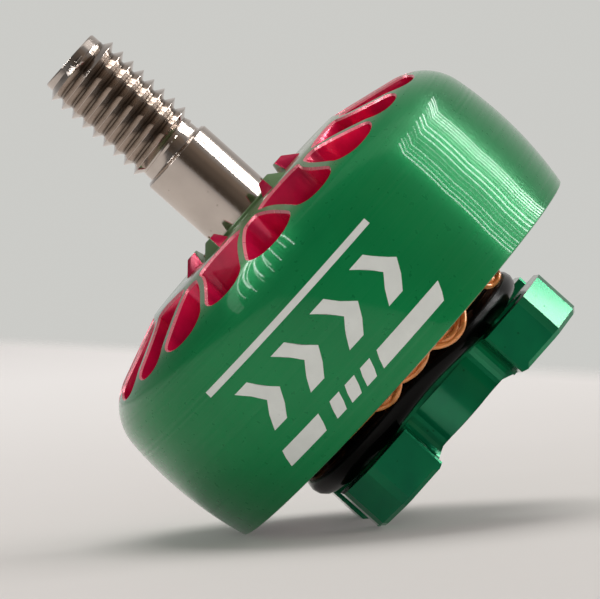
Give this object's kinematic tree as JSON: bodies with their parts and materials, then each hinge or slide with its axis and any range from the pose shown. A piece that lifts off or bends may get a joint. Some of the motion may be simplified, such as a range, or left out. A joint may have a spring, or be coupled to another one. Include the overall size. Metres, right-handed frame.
{
  "type": "brushless outrunner motor",
  "caption": "Brushless outrunner motor with a vented barrel-shaped bell, a threaded prop shaft and a four-legged base with tapped holes.",
  "frame": {"origin": "centre of the mounting face, on the shaft's axis, at the bottom of the feet", "axes": "+Z along the shaft towards its threaded tip, +Y towards the notch where the leads come out, +X to the right of it"},
  "size_m": [0.0286, 0.0286, 0.031],
  "materials": {
    "green_anodised": "green anodised, turned, with red anodised cut faces",
    "lamination_steel": "black epoxy coated laminations",
    "enamelled_copper": "copper wire with clear enamel",
    "black_sleeve": "black shrink sleeve",
    "bearing_steel": "polished",
    "cage_brass": "stamped",
    "shield_steel": "satin",
    "flux_steel": "dark plated",
    "magnet": "nickel plated",
    "shaft_steel": "ground and nickel plated",
    "shim_steel": "plain",
    "screw_black": "black oxide"
  },
  "bodies": {
    "stator": {"base": "green_anodised", "stator_core": "lamination_steel", "winding_a": "enamelled_copper", "winding_b": "enamelled_copper", "winding_c": "enamelled_copper", "sleeve_a": "black_sleeve", "sleeve_b": "black_sleeve", "sleeve_c": "black_sleeve", "upper_outer_ring": "bearing_steel", "upper_shields": "shield_steel", "lower_outer_ring": "bearing_steel", "lower_shields": "shield_steel"},
    "rotor": {"bell": "green_anodised", "flux_ring": "flux_steel", "magnets": "magnet", "prop_shaft": "shaft_steel", "bell_shim": "shim_steel", "retaining_washer": "shim_steel", "retaining_screw": "screw_black", "upper_inner_ring": "bearing_steel", "lower_inner_ring": "bearing_steel"},
    "upper_ball_set": {"upper_balls": "bearing_steel", "upper_cage": "cage_brass"},
    "lower_ball_set": {"lower_balls": "bearing_steel", "lower_cage": "cage_brass"}
  },
  "joints": [
    {"name": "rotor_spin", "type": "hinge", "parent": "stator", "child": "rotor", "pos_m": [0, 0, 0], "axis": [0, 0, 1], "continuous": true},
    {"name": "upper_ball_set_spin", "type": "hinge", "parent": "stator", "child": "upper_ball_set", "pos_m": [0, 0, 0], "axis": [0, 0, 1], "continuous": true},
    {"name": "lower_ball_set_spin", "type": "hinge", "parent": "stator", "child": "lower_ball_set", "pos_m": [0, 0, 0], "axis": [0, 0, 1], "continuous": true}
  ],
  "couplings": [
    {"joint": "upper_ball_set_spin", "follows": "rotor_spin", "ratio": 0.4077},
    {"joint": "lower_ball_set_spin", "follows": "rotor_spin", "ratio": 0.4077}
  ]
}
